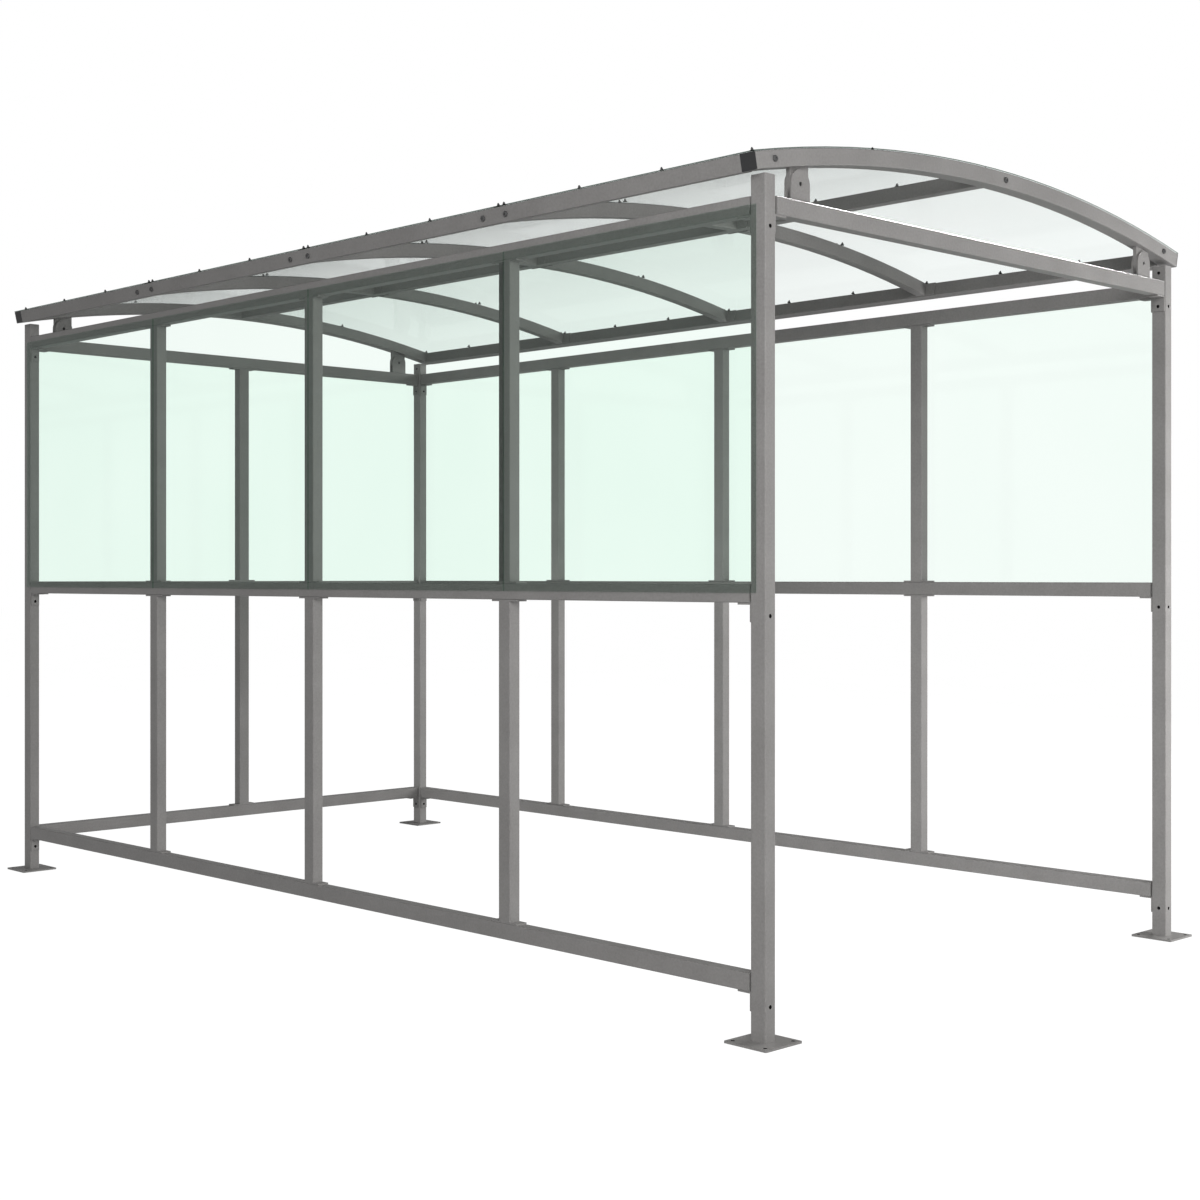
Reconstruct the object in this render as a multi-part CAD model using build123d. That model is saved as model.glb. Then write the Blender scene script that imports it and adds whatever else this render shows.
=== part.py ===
"""Open-fronted smoking shelter: a bolted frame of rectangular steel tube with
clear upper side panels and a shallow barrel roof of translucent sheets.

Frame: millimetres, +Z up.  X runs along the long side, with the open entrance
end at +X and the panelled end at -X.  The front long side faces -Y.  The
origin is on the ground, at the middle of the plan.
"""
import os
from math import asin, cos, degrees, radians, sin, sqrt

from build123d import *

# ---------------------------------------------------------------- dimensions
LENGTH = 4000.0          # over the outer faces of the posts, along X
DEPTH = 2070.0           # over the outer faces of the posts, along Y
TUBE_W = 50.0            # wide side of the post and mullion tube
TUBE_D = 40.0            # narrow side of all frame tube
RAIL_H = 48.0            # height of the rail tube
TUBE_R = 3.0             # outer corner radius of the tube
POST_TOP = 2235.0        # top of the posts

PLATE = 144.0            # square base plate
PLATE_T = 6.0
PLATE_R = 4.0
ANCHOR = 110.0           # anchor bolt square
ANCHOR_D = 12.0

RAIL_Z = (130.0, 1133.0, 2134.0)     # undersides of bottom, middle, top rails
RAIL_GAP = 5.0                       # open joint between a rail and its post
BEAM_GAP = 8.0                       # the same at the open-end beam

BRACKET_T = 5.0          # angle brackets under the rail ends
BRACKET_W = 34.0
BRACKET_LEG = 50.0       # leg on the post
BRACKET_ARM = 42.0       # leg under the rail
BOLT_DROP = 33.5         # bolt hole below the underside of the rail
BOLT_D = 11.0
TOP_HOLE_Z = 2212.0      # spare hole near the top of the posts

MULLION_X = (-987.5, 0.0, 987.5)
END_PLATE_L = 110.0      # plates on the ends of the mullions
END_PLATE_T = 5.0

PANEL_T = 5.0            # clear side panels
PANEL_Z0 = 1158.5
PANEL_Z1 = 2158.5
PANEL_X = 1970.0         # outermost panel edge, front and back
PANEL_Y = 1015.0         # outermost panel edge, panelled end
PANEL_GAP = 2.0

ROOF_R = 5000.0          # outer radius of the arched tubes
ROOF_TOP = 2400.0        # crown of the arched tubes
ROOF_HALF = 1078.0       # half width at the eaves, on the outer radius
ARCH_W = 50.0            # arched tube, along X
ARCH_H = 46.0            # arched tube, radially
RIB_W = 38.0             # arched ribs between the ends, along X
EAVE_H = 48.0            # eave rails, radially
RIDGE_H = 44.0           # ridge purlin
CAP_T = 3.0              # plastic caps in the ends of the arches
RIB_X = (-987.5, 0.0, 987.5)
RIB_PLATE_L = 120.0      # plates on the ends of the ribs
RIB_PLATE_T = 5.0

SHEET_T = 3.0            # translucent roof sheets
SHEET_LIFT = 0.5
SHEET_GAP = 2.0

LUG_Y = 878.0            # pivot brackets that carry the roof
LUG_Z = 2230.0
LUG_R = 38.0
LUG_T = 12.0
CLEVIS_W = 24.0          # over both cheeks, along X
CLEVIS_T = 5.5
CLEVIS_BASE = 5.0
PIN_D = 12.0

# ------------------------------------------------------------------- derived
HX = LENGTH / 2
HY = DEPTH / 2
POST_X = HX - TUBE_W / 2
POST_Y = HY - TUBE_D / 2
CZ = ROOF_TOP - ROOF_R                        # height of the arch centre
ALPHA = degrees(asin(ROOF_HALF / ROOF_R))     # half angle of the arch
RAIL_TOP = RAIL_Z[2] + RAIL_H                 # top of the top rails
SEAT_X = HX - ARCH_W / 2                      # pivot brackets stand under the arches

os.makedirs("parts", exist_ok=True)


# ------------------------------------------------------------------- helpers
def block(x0, x1, y0, y1, z0, z1):
    return Pos((x0 + x1) / 2, (y0 + y1) / 2, (z0 + z1) / 2) * Box(
        abs(x1 - x0), abs(y1 - y0), abs(z1 - z0))


def bar(axis, x0, x1, y0, y1, z0, z1, r=TUBE_R):
    """A straight tube with its four long corners rounded."""
    b = block(x0, x1, y0, y1, z0, z1)
    return fillet(b.edges().filter_by(axis), r)


def hole_x(x0, x1, y, z, d):
    return Pos((x0 + x1) / 2, y, z) * Rot(0, 90, 0) * Cylinder(d / 2, abs(x1 - x0))


def hole_y(x, y0, y1, z, d):
    return Pos(x, (y0 + y1) / 2, z) * Rot(90, 0, 0) * Cylinder(d / 2, abs(y1 - y0))


def hole_z(x, y, z0, z1, d):
    return Pos(x, y, (z0 + z1) / 2) * Cylinder(d / 2, abs(z1 - z0))


def polar(r, a):
    """Point in the YZ plane at radius r and a degrees from upright."""
    return (r * sin(radians(a)), CZ + r * cos(radians(a)))


def arc_bar(x0, x1, r0, r1, a0, a1, r=0.0):
    """A tube or sheet bent about the roof's long axis."""
    am = (a0 + a1) / 2
    face = make_face([
        ThreePointArc(polar(r1, a0), polar(r1, am), polar(r1, a1)),
        Line(polar(r1, a1), polar(r0, a1)),
        ThreePointArc(polar(r0, a1), polar(r0, am), polar(r0, a0)),
        Line(polar(r0, a0), polar(r1, a0)),
    ])
    s = Pos(x0, 0, 0) * extrude(Plane.YZ * face, x1 - x0)
    if r > 0:
        s = fillet(s.edges().filter_by(GeomType.CIRCLE), r)
    return s


def save(name, *solids):
    shape = solids[0] if len(solids) == 1 else Compound(children=list(solids))
    export_step(shape, f"parts/{name}.step")


def mirror_y(s):
    return mirror(s, about=Plane.XZ)


def mirror_x(s):
    return mirror(s, about=Plane.YZ)


# --------------------------------------------------------------------- posts
def post(sx, sy):
    """sx, sy give the corner; the tube is drilled for every rail position."""
    cx, cy = sx * POST_X, sy * POST_Y
    p = bar(Axis.Z, cx - TUBE_W / 2, cx + TUBE_W / 2,
            cy - TUBE_D / 2, cy + TUBE_D / 2, PLATE_T, POST_TOP)
    for z in RAIL_Z:
        p -= hole_x(cx - TUBE_W, cx + TUBE_W, cy, z - BOLT_DROP, BOLT_D)
    inner = sy * (HY - TUBE_D)
    for z in [r - BOLT_DROP for r in RAIL_Z] + [TOP_HOLE_Z]:
        p -= hole_y(cx, inner - sy * 10, cy, z, BOLT_D)
    return p


save("front_right_post", post(1, -1))
save("back_right_post", post(1, 1))
save("front_left_post", post(-1, -1))
save("back_left_post", post(-1, 1))


def base_plate(sx, sy):
    cx, cy = sx * POST_X, sy * POST_Y
    b = block(cx - PLATE / 2, cx + PLATE / 2, cy - PLATE / 2, cy + PLATE / 2, 0, PLATE_T)
    b = fillet(b.edges().filter_by(Axis.Z), PLATE_R)
    for ix in (-1, 1):
        for iy in (-1, 1):
            b -= hole_z(cx + ix * ANCHOR / 2, cy + iy * ANCHOR / 2, -5, PLATE_T + 5, ANCHOR_D)
    return b


save("base_plates", *[base_plate(sx, sy) for sx in (-1, 1) for sy in (-1, 1)])

# --------------------------------------------------------------------- rails
RX = HX - TUBE_W - RAIL_GAP           # half length of the front and back rails
RY = HY - TUBE_D - RAIL_GAP           # half length of the end rails
LEVELS = ("bottom", "middle", "top")

for level, z in zip(LEVELS, RAIL_Z):
    front = bar(Axis.X, -RX, RX, -HY, -HY + TUBE_D, z, z + RAIL_H)
    save(f"front_{level}_rail", front)
    save(f"back_{level}_rail", mirror_y(front))
    save(f"closed_end_{level}_rail",
         bar(Axis.Y, -HX, -HX + TUBE_D, -RY, RY, z, z + RAIL_H))

BY = HY - TUBE_D - BEAM_GAP
save("open_end_top_beam",
     bar(Axis.Y, HX - TUBE_D, HX, -BY, BY, RAIL_Z[2], RAIL_TOP))


# -------------------------------------------- angle brackets under the rails
def bracket_x(sx, z):
    """Bracket on the inner X face of a front post, carrying a long rail."""
    x0 = sx * (HX - TUBE_W)
    y = -POST_Y
    leg = block(x0, x0 - sx * BRACKET_T, y - BRACKET_W / 2, y + BRACKET_W / 2,
                z - BRACKET_LEG, z)
    arm = block(x0, x0 - sx * (RAIL_GAP + BRACKET_ARM), y - BRACKET_W / 2,
                y + BRACKET_W / 2, z - BRACKET_T, z)
    b = leg + arm
    b -= hole_x(x0 - sx * 10, x0 + sx * 1, y, z - BOLT_DROP, BOLT_D)
    return b


def bracket_y(xc, sy, z):
    """Bracket on the inner Y face of a post, carrying an end rail."""
    y0 = sy * (HY - TUBE_D)
    leg = block(xc - BRACKET_W / 2, xc + BRACKET_W / 2, y0, y0 - sy * BRACKET_T,
                z - BRACKET_LEG, z)
    arm = block(xc - BRACKET_W / 2, xc + BRACKET_W / 2, y0,
                y0 - sy * (RAIL_GAP + BRACKET_ARM), z - BRACKET_T, z)
    b = leg + arm
    b -= hole_y(xc + (POST_X - abs(xc)) * (1 if xc > 0 else -1),
                y0 - sy * 10, y0 + sy * 1, z - BOLT_DROP, BOLT_D)
    return b


front_brackets = [bracket_x(sx, z) for sx in (-1, 1) for z in RAIL_Z]
save("front_rail_brackets", *front_brackets)
save("back_rail_brackets", *[mirror_y(b) for b in front_brackets])
CLOSED_XC = -HX + TUBE_D / 2
OPEN_XC = HX - TUBE_D / 2
save("closed_end_rail_brackets",
     *[bracket_y(CLOSED_XC, sy, z) for sy in (-1, 1) for z in RAIL_Z])
save("open_end_beam_brackets",
     *[bracket_y(OPEN_XC, sy, RAIL_Z[2]) for sy in (-1, 1)])

# ------------------------------------------------------------------ mullions
STAGES = (("lower", RAIL_Z[0] + RAIL_H, RAIL_Z[1]),
          ("upper", RAIL_Z[1] + RAIL_H, RAIL_Z[2]))

front_plates, end_plates = [], []
for stage, z0, z1 in STAGES:
    front = [bar(Axis.Z, x - TUBE_W / 2, x + TUBE_W / 2, -HY, -HY + TUBE_D,
                 z0 + END_PLATE_T, z1 - END_PLATE_T) for x in MULLION_X]
    save(f"front_{stage}_mullions", *front)
    save(f"back_{stage}_mullions", *[mirror_y(m) for m in front])
    save(f"closed_end_{stage}_mullion",
         bar(Axis.Z, -HX, -HX + TUBE_D, -TUBE_W / 2, TUBE_W / 2,
             z0 + END_PLATE_T, z1 - END_PLATE_T))
    for za in (z0, z1 - END_PLATE_T):
        for x in MULLION_X:
            front_plates.append(block(x - END_PLATE_L / 2, x + END_PLATE_L / 2,
                                      -HY, -HY + TUBE_D, za, za + END_PLATE_T))
        end_plates.append(block(-HX, -HX + TUBE_D, -END_PLATE_L / 2,
                                END_PLATE_L / 2, za, za + END_PLATE_T))

save("front_mullion_plates", *front_plates)
save("back_mullion_plates", *[mirror_y(p) for p in front_plates])
save("closed_end_mullion_plates", *end_plates)

# --------------------------------------------------------- clear side panels
edges_x = [-PANEL_X] + list(MULLION_X) + [PANEL_X]
front_panels = [
    block(a + PANEL_GAP / 2, b - PANEL_GAP / 2, -HY - PANEL_T, -HY, PANEL_Z0, PANEL_Z1)
    for a, b in zip(edges_x[:-1], edges_x[1:])]
save("front_panels", *front_panels)
save("back_panels", *[mirror_y(p) for p in front_panels])
save("closed_end_panels",
     *[block(-HX - PANEL_T, -HX, a, b, PANEL_Z0, PANEL_Z1)
       for a, b in ((-PANEL_Y, -PANEL_GAP / 2), (PANEL_GAP / 2, PANEL_Y))])

# ---------------------------------------------------------------- roof frame
R_IN = ROOF_R - ARCH_H
CAP_A = degrees((CAP_T + 0.05) / R_IN)

open_arch = arc_bar(HX - ARCH_W, HX, R_IN, ROOF_R, -ALPHA + CAP_A, ALPHA - CAP_A, TUBE_R)
save("open_end_arch", open_arch)
save("closed_end_arch", mirror_x(open_arch))


def on_eave(s):
    """Turns a piece drawn upright at the crown down to the back eave."""
    return Pos(0, 0, CZ) * Rot(-ALPHA, 0, 0) * Pos(0, 0, -CZ) * s


cap = on_eave(fillet(block(HX - ARCH_W, HX, -CAP_T, 0, ROOF_TOP - ARCH_H, ROOF_TOP)
                     .edges().filter_by(Axis.Y), TUBE_R))
save("arch_end_caps", cap, mirror_y(cap), mirror_x(cap), mirror_x(mirror_y(cap)))

EX = HX - ARCH_W                      # half length of eave rails and ridge
eave = on_eave(bar(Axis.X, -EX, EX, -TUBE_D, 0, ROOF_TOP - EAVE_H, ROOF_TOP))
save("back_eave_rail", eave)
save("front_eave_rail", mirror_y(eave))
save("ridge_purlin", bar(Axis.X, -EX, EX, -TUBE_D / 2, TUBE_D / 2,
                         ROOF_TOP - RIDGE_H, ROOF_TOP))

A_RIDGE = degrees((TUBE_D / 2 + RIB_PLATE_T + 0.2) / R_IN)
A_EAVE = ALPHA - degrees((TUBE_D + RIB_PLATE_T + 0.2) / R_IN)
back_ribs = [arc_bar(x - RIB_W / 2, x + RIB_W / 2, R_IN, ROOF_R, A_RIDGE, A_EAVE, TUBE_R)
             for x in RIB_X]
save("back_roof_ribs", *back_ribs)
save("front_roof_ribs", *[mirror_y(r) for r in back_ribs])

rib_plates = []
for x in RIB_X:
    rib_plates.append(on_eave(block(
        x - RIB_PLATE_L / 2, x + RIB_PLATE_L / 2, -TUBE_D - RIB_PLATE_T, -TUBE_D,
        ROOF_TOP - ARCH_H + 1, ROOF_TOP - 1)))
    rib_plates.append(block(
        x - RIB_PLATE_L / 2, x + RIB_PLATE_L / 2, TUBE_D / 2, TUBE_D / 2 + RIB_PLATE_T,
        ROOF_TOP - ARCH_H + 1, ROOF_TOP - 1))
save("rib_end_plates", *rib_plates, *[mirror_y(p) for p in rib_plates])

# --------------------------------------------------------------- roof sheets
sheet_edges = [-HX] + list(RIB_X) + [HX]
save("roof_sheets",
     *[arc_bar(a + (SHEET_GAP / 2 if a > -HX else 0), b - (SHEET_GAP / 2 if b < HX else 0),
               ROOF_R + SHEET_LIFT, ROOF_R + SHEET_LIFT + SHEET_T, -ALPHA, ALPHA)
       for a, b in zip(sheet_edges[:-1], sheet_edges[1:])])


# ------------------------------------------------- pivot brackets, roof seat
def clevis(x0, x1):
    """U-shaped seat on the end beam, with round-topped cheeks."""
    s = block(x0, x1, LUG_Y - LUG_R, LUG_Y + LUG_R, RAIL_TOP, RAIL_TOP + CLEVIS_BASE)
    for a, b in ((x0, x0 + CLEVIS_T), (x1 - CLEVIS_T, x1)):
        s += block(a, b, LUG_Y - LUG_R, LUG_Y + LUG_R, RAIL_TOP, LUG_Z)
        s += hole_x(a, b, LUG_Y, LUG_Z, 2 * LUG_R)
    s -= hole_x(x0 - 5, x1 + 5, LUG_Y, LUG_Z, PIN_D + 0.4)
    return s


def lug(xc):
    """Round-ended plate that hangs from the underside of the arch."""
    x0, x1 = xc - LUG_T / 2, xc + LUG_T / 2
    s = block(x0, x1, LUG_Y - LUG_R, LUG_Y + LUG_R, LUG_Z, ROOF_TOP - ARCH_H - 40)
    s += hole_x(x0, x1, LUG_Y, LUG_Z, 2 * LUG_R)
    s &= Pos(xc, 0, CZ) * Rot(0, 90, 0) * Cylinder(R_IN - 0.2, 4 * LUG_T)
    s -= hole_x(x0 - 5, x1 + 5, LUG_Y, LUG_Z, PIN_D + 0.4)
    return s


clevises, lugs, pins = [], [], []
for xc in (SEAT_X, -SEAT_X):
    for turn in (lambda s: s, mirror_y):
        clevises.append(turn(clevis(xc - CLEVIS_W / 2, xc + CLEVIS_W / 2)))
        lugs.append(turn(lug(xc)))
        pins.append(turn(hole_x(xc - CLEVIS_W / 2 + 3, xc + CLEVIS_W / 2 - 3,
                                LUG_Y, LUG_Z, PIN_D)))
save("roof_bracket_clevises", *clevises)
save("roof_bracket_lugs", *lugs)
save("roof_bracket_pins", *pins)
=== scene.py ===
import math

import bmesh
import bpy
from mathutils import Matrix, Vector


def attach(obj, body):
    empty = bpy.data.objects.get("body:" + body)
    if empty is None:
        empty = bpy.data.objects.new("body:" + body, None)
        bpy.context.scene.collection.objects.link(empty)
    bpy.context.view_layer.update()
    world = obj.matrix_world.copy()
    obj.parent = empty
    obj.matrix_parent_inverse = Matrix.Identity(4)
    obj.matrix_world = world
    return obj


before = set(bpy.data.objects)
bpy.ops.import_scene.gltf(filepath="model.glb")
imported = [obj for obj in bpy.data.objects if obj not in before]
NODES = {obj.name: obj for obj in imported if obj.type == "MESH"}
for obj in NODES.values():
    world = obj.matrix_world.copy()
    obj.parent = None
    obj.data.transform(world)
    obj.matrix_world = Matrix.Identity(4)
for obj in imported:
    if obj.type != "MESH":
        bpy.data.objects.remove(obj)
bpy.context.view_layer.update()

# ------------------------------------------------------------ sizes, in metres
HX, HY = 2.000, 1.035             # half length and half depth over the posts
ROOF_R = 5.000                    # outer radius of the arched tubes
ROOF_CZ = -2.600                  # height of the arch centre
ROOF_HALF = 1.078
ALPHA = math.asin(ROOF_HALF / ROOF_R)
SHEET_TOP = ROOF_R + 0.0035       # top of the roof sheets
TUBE_D = 0.040
ARCH_H = 0.046
EAVE_H = 0.048
RIB_X = (-0.9875, 0.0, 0.9875)


# ------------------------------------------------------------------ node helpers
def new_material(name):
    m = bpy.data.materials.new(name)
    m.use_nodes = True
    nt = m.node_tree
    nt.nodes.clear()
    out = nt.nodes.new("ShaderNodeOutputMaterial")
    return m, nt, out


def coords(nt, scale=(1, 1, 1)):
    tc = nt.nodes.new("ShaderNodeTexCoord")
    mp = nt.nodes.new("ShaderNodeMapping")
    mp.inputs["Scale"].default_value = scale
    nt.links.new(tc.outputs["Object"], mp.inputs["Vector"])
    return mp.outputs["Vector"]


def noise(nt, vec, scale, detail=2.0, rough=0.5):
    n = nt.nodes.new("ShaderNodeTexNoise")
    n.inputs["Scale"].default_value = scale
    n.inputs["Detail"].default_value = detail
    n.inputs["Roughness"].default_value = rough
    nt.links.new(vec, n.inputs["Vector"])
    return n.outputs["Fac"]


def ramp(nt, fac, stops):
    r = nt.nodes.new("ShaderNodeValToRGB")
    el = r.color_ramp.elements
    while len(el) < len(stops):
        el.new(0.5)
    for e, (pos, col) in zip(el, stops):
        e.position = pos
        e.color = (*col, 1.0)
    nt.links.new(fac, r.inputs["Fac"])
    return r.outputs["Color"]


def map_range(nt, fac, a, b, lo, hi):
    m = nt.nodes.new("ShaderNodeMapRange")
    m.inputs["From Min"].default_value = a
    m.inputs["From Max"].default_value = b
    m.inputs["To Min"].default_value = lo
    m.inputs["To Max"].default_value = hi
    nt.links.new(fac, m.inputs["Value"])
    return m.outputs["Result"]


def bump(nt, height, strength, distance, normal=None):
    b = nt.nodes.new("ShaderNodeBump")
    b.inputs["Strength"].default_value = strength
    b.inputs["Distance"].default_value = distance
    nt.links.new(height, b.inputs["Height"])
    if normal is not None:
        nt.links.new(normal, b.inputs["Normal"])
    return b.outputs["Normal"]


# ------------------------------------------------------------------- materials
def powder_coat():
    """Satin grey powder coat: faint cloudiness, a coarse and a fine speckle, orange peel."""
    m, nt, out = new_material("powder_coat_grey")
    p = nt.nodes.new("ShaderNodeBsdfPrincipled")
    vec = coords(nt)
    cloud = noise(nt, vec, 7.0, 2.0, 0.55)
    grain = noise(nt, vec, 150.0, 1.0, 0.6)
    speck = noise(nt, vec, 900.0, 1.0, 0.6)
    grains = nt.nodes.new("ShaderNodeMath")
    grains.operation = "MULTIPLY_ADD"
    nt.links.new(speck, grains.inputs[0])
    grains.inputs[1].default_value = 0.30
    nt.links.new(map_range(nt, grain, 0.25, 0.75, 0.0, 0.40), grains.inputs[2])
    mix = nt.nodes.new("ShaderNodeMath")
    mix.operation = "ADD"
    nt.links.new(grains.outputs[0], mix.inputs[0])
    nt.links.new(map_range(nt, cloud, 0.3, 0.7, 0.0, 0.30), mix.inputs[1])
    nt.links.new(ramp(nt, mix.outputs[0], [(0.20, (0.150, 0.145, 0.141)),
                                           (0.50, (0.172, 0.167, 0.163)),
                                           (0.80, (0.194, 0.189, 0.184))]),
                 p.inputs["Base Color"])
    nt.links.new(map_range(nt, cloud, 0.3, 0.7, 0.34, 0.42), p.inputs["Roughness"])
    p.inputs["IOR"].default_value = 1.5
    peel = noise(nt, vec, 420.0, 1.0, 0.5)
    nt.links.new(bump(nt, peel, 0.25, 0.0004), p.inputs["Normal"])
    nt.links.new(p.outputs["BSDF"], out.inputs["Surface"])
    return m


def clear_sheet(name, tint_a, tint_b, edge, shade, mirror, rough, wave, broad):
    """Clear plastic sheet: a faint green cast on each face, mirroring that grows
    at low angles, slightly uneven faces and darker sawn edges.  broad names the
    axis of its broad faces; shade is how much lamp light each face passes."""
    m, nt, out = new_material(name)
    vec = coords(nt)
    cloud = noise(nt, vec, 2.2, 1.0, 0.5)
    fine = noise(nt, vec, 18.0, 0.0, 0.5)
    geo = nt.nodes.new("ShaderNodeNewGeometry")
    sep = nt.nodes.new("ShaderNodeSeparateXYZ")
    nt.links.new(geo.outputs["True Normal"], sep.inputs["Vector"])
    face = nt.nodes.new("ShaderNodeMath")
    face.operation = "ABSOLUTE"
    nt.links.new(sep.outputs[broad], face.inputs[0])
    sawn = map_range(nt, face.outputs[0], 0.5, 0.7, 1.0, 0.0)
    tint = nt.nodes.new("ShaderNodeMix")
    tint.data_type = "RGBA"
    nt.links.new(sawn, tint.inputs["Factor"])
    nt.links.new(ramp(nt, cloud, [(0.3, tint_a), (0.7, tint_b)]), tint.inputs[6])
    tint.inputs[7].default_value = (*edge, 1.0)
    t = nt.nodes.new("ShaderNodeBsdfTransparent")
    nt.links.new(tint.outputs[2], t.inputs["Color"])
    g = nt.nodes.new("ShaderNodeBsdfGlossy")
    g.inputs["Color"].default_value = (0.97, 1.0, 0.985, 1.0)
    nt.links.new(map_range(nt, fine, 0.3, 0.7, *rough), g.inputs["Roughness"])
    nt.links.new(bump(nt, fine, wave, 0.0010), g.inputs["Normal"])
    lw = nt.nodes.new("ShaderNodeLayerWeight")
    lw.inputs["Blend"].default_value = 0.5
    pw = nt.nodes.new("ShaderNodeMath")
    pw.operation = "POWER"
    nt.links.new(lw.outputs["Facing"], pw.inputs[0])
    pw.inputs[1].default_value = mirror[2]
    seen = nt.nodes.new("ShaderNodeMixShader")
    nt.links.new(map_range(nt, pw.outputs[0], 0.0, 1.0, *mirror[:2]), seen.inputs["Fac"])
    nt.links.new(t.outputs["BSDF"], seen.inputs[1])
    nt.links.new(g.outputs["BSDF"], seen.inputs[2])
    dim = nt.nodes.new("ShaderNodeBsdfTransparent")
    nt.links.new(ramp(nt, sawn, [(0.0, shade), (1.0, (0.90, 0.91, 0.90))]), dim.inputs["Color"])
    lp = nt.nodes.new("ShaderNodeLightPath")
    last = seen
    for ray in ("Is Diffuse Ray", "Is Shadow Ray"):
        mx = nt.nodes.new("ShaderNodeMixShader")
        nt.links.new(lp.outputs[ray], mx.inputs["Fac"])
        nt.links.new(last.outputs[0], mx.inputs[1])
        nt.links.new(dim.outputs[0], mx.inputs[2])
        last = mx
    nt.links.new(last.outputs[0], out.inputs["Surface"])
    return m


def dark_plastic():
    m, nt, out = new_material("cap_dark_plastic")
    p = nt.nodes.new("ShaderNodeBsdfPrincipled")
    vec = coords(nt)
    n = noise(nt, vec, 700.0, 2.0, 0.6)
    nt.links.new(ramp(nt, n, [(0.3, (0.013, 0.013, 0.014)), (0.7, (0.024, 0.024, 0.025))]),
                 p.inputs["Base Color"])
    nt.links.new(map_range(nt, n, 0.3, 0.7, 0.42, 0.58), p.inputs["Roughness"])
    nt.links.new(bump(nt, n, 0.3, 0.0003), p.inputs["Normal"])
    nt.links.new(p.outputs["BSDF"], out.inputs["Surface"])
    return m


def dark_steel(name, lo, hi, metallic=0.85, rough=(0.32, 0.48)):
    m, nt, out = new_material(name)
    p = nt.nodes.new("ShaderNodeBsdfPrincipled")
    vec = coords(nt)
    n = noise(nt, vec, 350.0, 3.0, 0.6)
    nt.links.new(ramp(nt, n, [(0.3, lo), (0.7, hi)]), p.inputs["Base Color"])
    nt.links.new(map_range(nt, n, 0.3, 0.7, *rough), p.inputs["Roughness"])
    p.inputs["Metallic"].default_value = metallic
    nt.links.new(bump(nt, n, 0.2, 0.0002), p.inputs["Normal"])
    nt.links.new(p.outputs["BSDF"], out.inputs["Surface"])
    return m


COAT = powder_coat()
MINT_A, MINT_B = (0.948, 0.991, 0.967), (0.956, 0.995, 0.973)
PANEL_LOOK = (MINT_A, MINT_B, (0.78, 0.88, 0.83), (0.64, 0.665, 0.65), (0.012, 0.50, 5.0), (0.02, 0.06), 0.05)
PANEL = clear_sheet("clear_panel_long_sides", *PANEL_LOOK, "Y")
PANEL_END = clear_sheet("clear_panel_end", *PANEL_LOOK, "X")
ROOF = clear_sheet("roof_sheet_clear", (0.970, 0.993, 0.984), (0.978, 0.998, 0.990), (0.22, 0.26, 0.24),
                   (0.66, 0.68, 0.67), (0.002, 0.80, 8.0), (0.03, 0.07), 0.010, "Z")
CAP = dark_plastic()
PIN = dark_steel("pivot_pin_steel", (0.010, 0.010, 0.010), (0.020, 0.020, 0.020), 0.0, (0.55, 0.70))
BOLT = dark_steel("bolt_steel", (0.060, 0.060, 0.060), (0.095, 0.095, 0.095), 0.3, (0.45, 0.60))
# painted shade: a near-black finish that stands for the shade inside the hollow tubes and holes
BORE_SHADE = dark_steel("bore_painted_shade", (0.004, 0.004, 0.004), (0.008, 0.008, 0.008), 0.0, (0.8, 0.95))
RUBBER = dark_steel("washer_rubber", (0.030, 0.030, 0.030), (0.050, 0.050, 0.050), 0.0, (0.6, 0.8))

SPECIAL = {"front_panels": PANEL, "back_panels": PANEL, "closed_end_panels": PANEL_END,
           "roof_sheets": ROOF, "arch_end_caps": CAP, "roof_bracket_pins": PIN}
for node, obj in NODES.items():
    mat = SPECIAL.get(node, COAT)
    if not obj.material_slots:
        obj.data.materials.append(mat)
    for s in obj.material_slots:
        s.material = mat


# ------------------------------------------------------------------- fasteners
def lathe(profile, seg):
    """Rings of points turned about Z, from (radius, z) pairs."""
    verts, faces, last = [], [], None
    for r, z in profile:
        if r < 1e-7:
            ring = [len(verts)]
            verts.append(Vector((0, 0, z)))
        else:
            ring = list(range(len(verts), len(verts) + seg))
            for i in range(seg):
                a = 2 * math.pi * i / seg
                verts.append(Vector((r * math.cos(a), r * math.sin(a), z)))
        if last is not None:
            for i in range(seg):
                j = (i + 1) % seg
                if len(last) == 1:
                    faces.append((last[0], ring[i], ring[j]))
                elif len(ring) == 1:
                    faces.append((last[i], ring[0], last[j]))
                else:
                    faces.append((last[i], ring[i], ring[j], last[j]))
        last = ring
    return verts, faces


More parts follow.
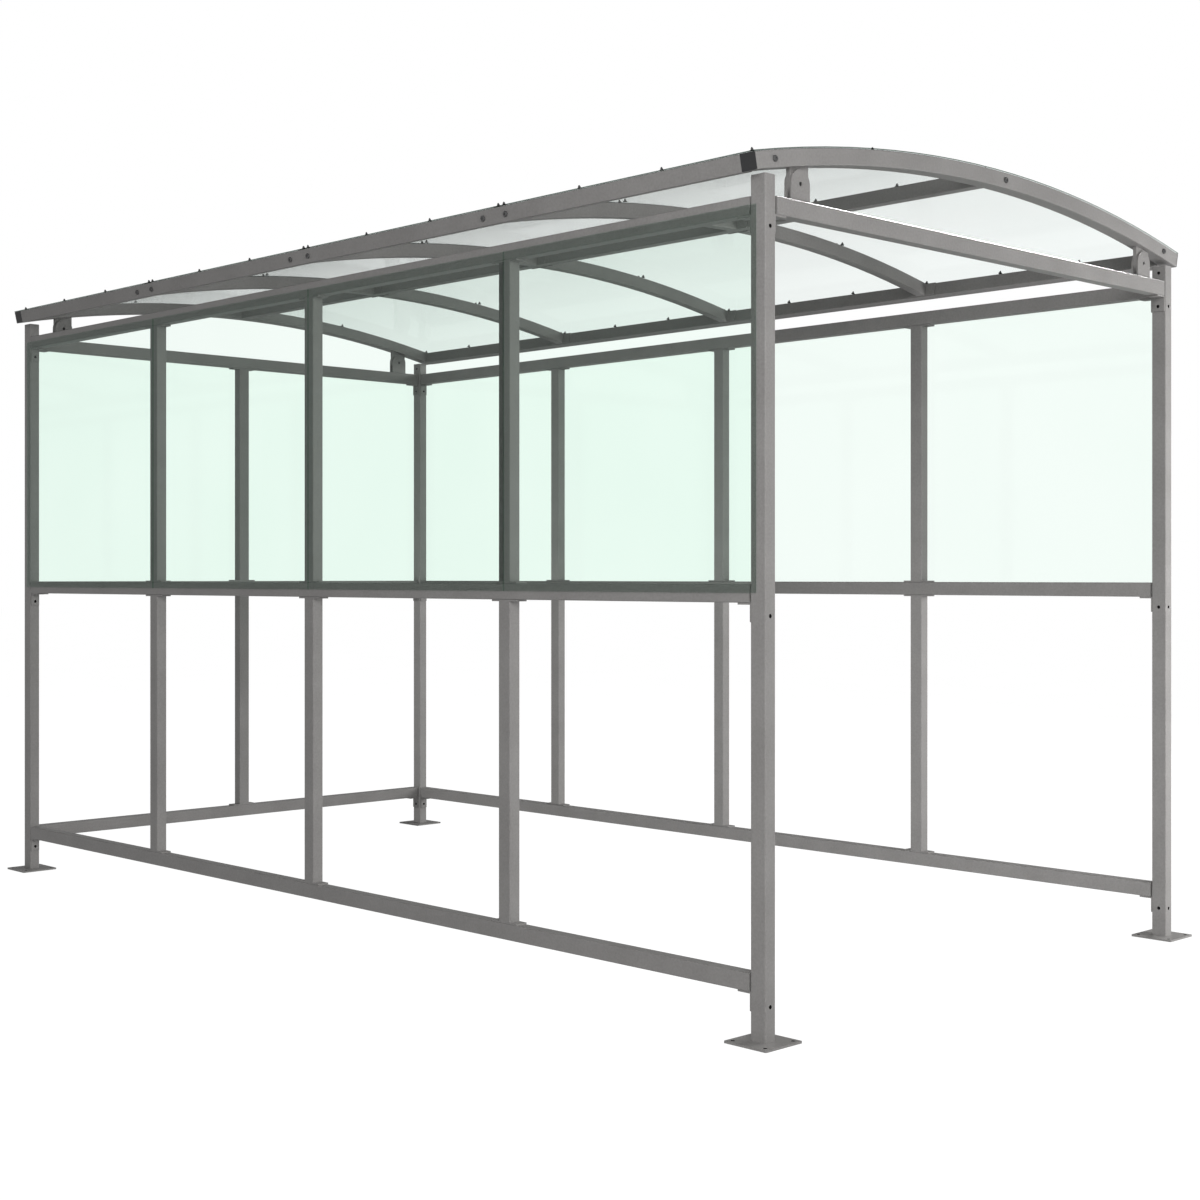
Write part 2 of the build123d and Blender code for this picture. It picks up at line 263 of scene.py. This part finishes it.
def button_head(d, h, socket):
    """Domed bolt head with a hexagon socket, standing on z = 0."""
    seg = 24
    r = d / 2
    prof = [(0.0, -0.0004), (r * 0.985, -0.0004), (r, 0.0004), (r, 0.0010)]
    for k in range(1, 7):
        a = k / 6 * math.radians(62)
        prof.append((r * 0.52 + r * 0.48 * math.cos(a), 0.0010 + (h - 0.0010) * math.sin(a) / math.sin(math.radians(62))))
    verts, faces = lathe(prof, seg)
    top = len(verts) - seg
    # the socket: a hexagon sunk into the flat top
    hexr = socket / math.sqrt(3)
    base = len(verts)

    def hex_point(i, z, k=1.0):
        a = 2 * math.pi * i / seg
        b = (a % (math.pi / 3)) - math.pi / 6
        rr = hexr * math.cos(math.pi / 6) / math.cos(b) * k
        return Vector((rr * math.cos(a), rr * math.sin(a), z))

    for z, k in ((h, 1.06), (h - 0.0004, 1.0), (h - 0.0026, 1.0)):
        verts += [hex_point(i, z, k) for i in range(seg)]
    verts.append(Vector((0, 0, h - 0.0032)))
    rings = [list(range(top, top + seg))] + [list(range(base + k * seg, base + (k + 1) * seg)) for k in range(3)]
    for a, b in zip(rings[:-1], rings[1:]):
        for i in range(seg):
            j = (i + 1) % seg
            faces.append((a[i], b[i], b[j], a[j]))
    c = len(verts) - 1
    for i in range(seg):
        faces.append((rings[-1][i], c, rings[-1][(i + 1) % seg]))
    return verts, faces


def hex_screw(af, h):
    """Small hexagon head on a flange, drawn in to a narrow top."""
    fl = lathe([(0.0, 0.0), (0.0062, 0.0), (0.0062, 0.0006), (0.0050, 0.0014), (af * 0.5, 0.0018)], 18)
    verts, faces = [v.copy() for v in fl[0]], list(fl[1])
    base = len(verts)
    hexr = af / math.sqrt(3)
    rings = []
    for z, k in ((0.0014, 1.0), (h * 0.50, 0.92), (h - 0.0008, 0.46), (h, 0.34)):
        ring = []
        for i in range(6):
            a = math.pi / 3 * i
            ring.append(len(verts))
            verts.append(Vector((hexr * k * math.cos(a), hexr * k * math.sin(a), z)))
        rings.append(ring)
    for a, b in zip(rings[:-1], rings[1:]):
        for i in range(6):
            j = (i + 1) % 6
            faces.append((a[i], a[j], b[j], b[i]))
    faces.append(tuple(rings[-1]))
    faces.append(tuple(reversed(rings[0])))
    return verts, faces


def along(origin, axis, spin=0.0):
    """Placement with local +Z on axis."""
    q = Vector(axis).normalized().to_track_quat("Z", "Y")
    return Matrix.Translation(origin) @ q.to_matrix().to_4x4() @ Matrix.Rotation(spin, 4, "Z")


def joined(name, shape, places, material, smooth=35):
    verts, faces = shape
    allv, allf = [], []
    for pl in places:
        o = len(allv)
        allv += [pl @ v for v in verts]
        allf += [tuple(i + o for i in f) for f in faces]
    me = bpy.data.meshes.new(name)
    me.from_pydata([tuple(v) for v in allv], [], allf)
    bm = bmesh.new()
    bm.from_mesh(me)
    bmesh.ops.recalc_face_normals(bm, faces=bm.faces)
    for f in bm.faces:
        f.smooth = True
    for e in bm.edges:
        if len(e.link_faces) == 2 and e.calc_face_angle(0) > math.radians(smooth):
            e.smooth = False
    bm.to_mesh(me)
    bm.free()
    me.materials.append(material)
    ob = bpy.data.objects.new(name, me)
    bpy.context.scene.collection.objects.link(ob)
    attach(ob, "root")
    return ob


def on_arch(x, r, a):
    """Point and outward direction on the roof's arc, a radians from upright."""
    return (Vector((x, r * math.sin(a), ROOF_CZ + r * math.cos(a))),
            Vector((0, math.sin(a), math.cos(a))))


bolts = []
spin = 0.4
for sx in (-1, 1):
    for a in (-11.56, 0.62, 11.37):
        pos, _ = on_arch(sx * HX, ROOF_R - ARCH_H / 2, math.radians(a))
        bolts.append(along(pos, (sx, 0, 0), spin))
        spin += 0.7
for sy in (-1, 1):
    out = Vector((0, sy * math.cos(ALPHA), -math.sin(ALPHA)))
    for x in RIB_X:
        for dx in (-0.05, 0.05):
            pos, _ = on_arch(x + dx, ROOF_R - EAVE_H / 2, sy * ALPHA)
            bolts.append(along(pos, out, spin))
            spin += 0.7
joined("roof_frame_bolts", button_head(0.0175, 0.0055, 0.006), bolts, BOLT)

edges = [-HX] + list(RIB_X) + [HX]
screws = []
for k, (a, b) in enumerate(zip(edges[:-1], edges[1:])):
    x0 = a + (0.035 if k == 0 else 0.0125)
    x1 = b - (0.035 if k == 3 else 0.0125)
    for i in range(4):
        x = x0 + (x1 - x0) * i / 3
        for ang in (-ALPHA + 0.034 / ROOF_R, 0.0, ALPHA - 0.034 / ROOF_R):
            screws.append((x, ang))
    for x in (x0, x1):
        for ang in (-ALPHA / 2, ALPHA / 2):
            screws.append((x, ang))
heads, washers = [], []
for i, (x, ang) in enumerate(screws):
    pos, up = on_arch(x, SHEET_TOP, ang)
    washers.append(along(pos, up))
    heads.append(along(pos + up * 0.0016, up, i * 0.37))
joined("roof_screws", hex_screw(0.0075, 0.0085), heads, BOLT)
joined("roof_screw_washers",
       lathe([(0.0, 0.0), (0.0068, 0.0), (0.0070, 0.0005), (0.0066, 0.0012), (0.0, 0.0016)], 18),
       washers, RUBBER)

POST_X, POST_Y = 1.975, 1.015
LEVELS = (0.0965, 1.0995, 2.1005)      # bolt holes under the rails
LEAF = 0.005                           # thickness of the angle brackets
# painted shade: near-black cups sunk in the post bolt holes, standing for the shaded hollow inside the tubes,
# which are solid bars here
bore_shade_places = []
for sx in (-1, 1):
    for sy in (-1, 1):
        for k, z in enumerate(LEVELS + (2.212,)):
            y = sy * (POST_Y - TUBE_D / 2)
            if k < 3:
                bore_shade_places.append(along(Vector((sx * HX, sy * POST_Y, z)), (sx, 0, 0)))
                bore_shade_places.append(along(Vector((sx * (HX - 0.050 - LEAF), sy * POST_Y, z)), (-sx, 0, 0)))
                if sx < 0 or k == 2:
                    y -= sy * LEAF
            bore_shade_places.append(along(Vector((sx * POST_X, y, z)), (0, -sy, 0)))
joined("post_bore_painted_shade",
       lathe([(0.0054, -0.0004), (0.0054, -0.0140), (0.0046, -0.0146), (0.0, -0.0146)], 24),
       bore_shade_places, BORE_SHADE)

ANCHOR = 0.110                         # anchor hole square in the base plates
# painted shade: near-black sleeves in the anchor holes of the base plates, standing for the shade inside the
# holes
joined("anchor_bore_painted_shade", lathe([(0.0059, 0.0057), (0.0059, 0.0003)], 24),
       [Matrix.Translation((sx * POST_X + ax, sy * POST_Y + ay, 0.0))
        for sx in (-1, 1) for sy in (-1, 1)
        for ax in (-ANCHOR / 2, ANCHOR / 2) for ay in (-ANCHOR / 2, ANCHOR / 2)],
       BORE_SHADE)

# ---------------------------------------------------------- floor, light, camera
FLOOR_SHEEN = (0.50, 0.26)        # brightness of the floor in mirrored light: near, far behind
DOME = 0.41                       # even light from all round
# mirrored studio walls: (bearing in degrees from +X towards +Y, brightness)
WALLS = [(-180, 0.25), (-150, 0.60), (-120, 1.0), (30, 1.0), (60, 0.0), (90, 0.7), (120, 0.0),
         (150, 0.43), (180, 0.25)]
bm = bmesh.new()
bmesh.ops.create_circle(bm, cap_ends=True, cap_tris=False, radius=60.0, segments=64)
me = bpy.data.meshes.new("floor")
bm.to_mesh(me)
bm.free()
floor = bpy.data.objects.new("floor", me)
floor.location = (0, 0, -0.0005)
bpy.context.scene.collection.objects.link(floor)
fm, nt, out = new_material("floor_pale")
lp = nt.nodes.new("ShaderNodeLightPath")
pale = nt.nodes.new("ShaderNodeBsdfDiffuse")
nt.links.new(ramp(nt, noise(nt, coords(nt), 1.5, 3.0), [(0.3, (0.06, 0.06, 0.06)), (0.7, (0.08, 0.08, 0.08))]),
             pale.inputs["Color"])
glow = nt.nodes.new("ShaderNodeEmission")
glow.inputs["Strength"].default_value = 0.97
lit = nt.nodes.new("ShaderNodeAddShader")
nt.links.new(pale.outputs["BSDF"], lit.inputs[0])
nt.links.new(glow.outputs["Emission"], lit.inputs[1])
back = nt.nodes.new("ShaderNodeBsdfDiffuse")
back.inputs["Color"].default_value = (0.30, 0.30, 0.30, 1)
sheen = nt.nodes.new("ShaderNodeEmission")
behind = nt.nodes.new("ShaderNodeVectorMath")
behind.operation = "DOT_PRODUCT"
nt.links.new(coords(nt), behind.inputs[0])
behind.inputs[1].default_value = (-0.7071, 0.7071, 0.0)
nt.links.new(map_range(nt, behind.outputs["Value"], 3.0, 6.0, *FLOOR_SHEEN), sheen.inputs["Strength"])
last = lit
for ray, sh in (("Is Diffuse Ray", back), ("Is Glossy Ray", sheen)):
    mx = nt.nodes.new("ShaderNodeMixShader")
    nt.links.new(lp.outputs[ray], mx.inputs["Fac"])
    nt.links.new(last.outputs[0], mx.inputs[1])
    nt.links.new(sh.outputs[0], mx.inputs[2])
    last = mx
nt.links.new(last.outputs[0], out.inputs["Surface"])
me.materials.append(fm)

world = bpy.data.worlds.new("studio")
bpy.context.scene.world = world
world.use_nodes = True
nt = world.node_tree
nt.nodes.clear()
out = nt.nodes.new("ShaderNodeOutputWorld")
lp = nt.nodes.new("ShaderNodeLightPath")
tc = nt.nodes.new("ShaderNodeTexCoord")
way = nt.nodes.new("ShaderNodeSeparateXYZ")
nt.links.new(tc.outputs["Generated"], way.inputs["Vector"])
bearing = nt.nodes.new("ShaderNodeMath")
bearing.operation = "ARCTAN2"
nt.links.new(way.outputs["Y"], bearing.inputs[0])
nt.links.new(way.outputs["X"], bearing.inputs[1])
walls = nt.nodes.new("ShaderNodeFloatCurve")
nt.links.new(map_range(nt, bearing.outputs[0], -math.pi, math.pi, 0.0, 1.0), walls.inputs["Value"])
line = walls.mapping.curves[0]
line.points[0].location = (0.0, WALLS[0][1] / 4.0)
line.points[1].location = (1.0, WALLS[-1][1] / 4.0)
for deg, v in WALLS[1:-1]:
    line.points.new((deg + 180.0) / 360.0, v / 4.0)
for pt in line.points:
    pt.handle_type = "VECTOR"
walls.mapping.update()
low = map_range(nt, way.outputs["Z"], 0.10, 0.50, 4.0, 0.0)
walled = nt.nodes.new("ShaderNodeMath")
walled.operation = "MULTIPLY"
nt.links.new(walls.outputs["Value"], walled.inputs[0])
nt.links.new(low, walled.inputs[1])


def sky(strength):
    b = nt.nodes.new("ShaderNodeBackground")
    b.inputs["Color"].default_value = (1, 1, 1, 1)
    if strength is not None:
        b.inputs["Strength"].default_value = strength
    return b


white, dome, mirror = sky(1.0), sky(DOME), sky(None)
nt.links.new(walled.outputs[0], mirror.inputs["Strength"])
first = nt.nodes.new("ShaderNodeMixShader")
nt.links.new(lp.outputs["Is Diffuse Ray"], first.inputs["Fac"])
nt.links.new(mirror.outputs["Background"], first.inputs[1])
nt.links.new(dome.outputs["Background"], first.inputs[2])
second = nt.nodes.new("ShaderNodeMixShader")
nt.links.new(lp.outputs["Is Camera Ray"], second.inputs["Fac"])
nt.links.new(first.outputs["Shader"], second.inputs[1])
nt.links.new(white.outputs["Background"], second.inputs[2])
nt.links.new(second.outputs["Shader"], out.inputs["Surface"])


def softbox(name, loc, target, size, power):
    d = bpy.data.lights.new(name, "AREA")
    d.shape = "RECTANGLE"
    d.size, d.size_y = size
    d.energy = power
    o = bpy.data.objects.new(name, d)
    o.location = loc
    o.rotation_mode = "QUATERNION"
    o.rotation_quaternion = (Vector(target) - Vector(loc)).to_track_quat("-Z", "Y")
    o.visible_camera = o.visible_glossy = o.visible_transmission = False
    bpy.context.scene.collection.objects.link(o)
    return o


softbox("front_box", (6.2, -4.6, 3.4), (0.8, 0.0, 1.2), (3.0, 3.0), 350.0)
softbox("front_low_box", (4.2, -5.2, 0.7), (1.5, 0.5, 0.9), (2.0, 1.0), 68.0)
softbox("right_box", (3.6, 1.8, 1.15), (2.0, 1.0, 1.15), (0.6, 2.1), 80.0)
softbox("inner_box", (1.2, -0.5, 0.45), (1.5, 1.0, 0.5), (2.0, 0.5), 10.0)
softbox("back_box", (2.0, 8.0, 3.0), (1.0, 0.0, 1.2), (4.0, 3.0), 800.0)
softbox("top_box", (0.0, 0.0, 9.0), (0.0, 0.0, 0.0), (10.0, 8.0), 120.0)
softbox("near_post_box", (3.0, -1.3, 1.6), (2.0, -1.015, 1.6), (0.3, 1.8), 3.0)
softbox("left_post_box", (-2.2, -2.3, 0.8), (-2.0, -1.0, 0.8), (0.3, 1.2), 2.0)

# two lamps for the inside of the back frame, on the left
lit_behind = bpy.data.collections.new("lit_behind")
for name in ("back_left_post", "back_bottom_rail", "back_lower_mullions", "back_upper_mullions", "back_top_rail"):
    lit_behind.objects.link(NODES[name])
for lamp in (softbox("back_wall_box", (-0.95, -0.4, 0.75), (-0.95, 1.0, 0.75), (2.0, 1.0), 9.0),
             softbox("back_corner_box", (-1.7, 0.1, 0.7), (-1.975, 1.0, 0.7), (0.3, 1.2), 3.0)):
    lamp.light_linking.receiver_collection = lit_behind

# a strip lamp for the upper edge of the beam over the entrance
strip = softbox("beam_strip", (0.92, 3.20, 4.25), (2.0, 0.0, 2.18), (2.6, 3.8), 2600.0)
strip.visible_glossy, strip.visible_diffuse = True, False
lit_by_strip = bpy.data.collections.new("lit_by_strip")
lit_by_strip.objects.link(NODES["open_end_top_beam"])
strip.light_linking.receiver_collection = lit_by_strip
strip.light_linking.blocker_collection = lit_by_strip

cam = bpy.data.cameras.new("camera")
cam.sensor_width = 36.0
cam.lens = 55.47
cam.shift_y = -0.01944
cam.clip_end = 400.0
cob = bpy.data.objects.new("camera", cam)
cob.location = (5.0964, -4.6320, 1.2006)
cob.rotation_mode = "QUATERNION"
cob.rotation_quaternion = Vector((-0.7173, 0.6968, 0.0)).to_track_quat("-Z", "Y")
bpy.context.scene.collection.objects.link(cob)
bpy.context.scene.camera = cob

bpy.context.scene.view_settings.view_transform = "Standard"
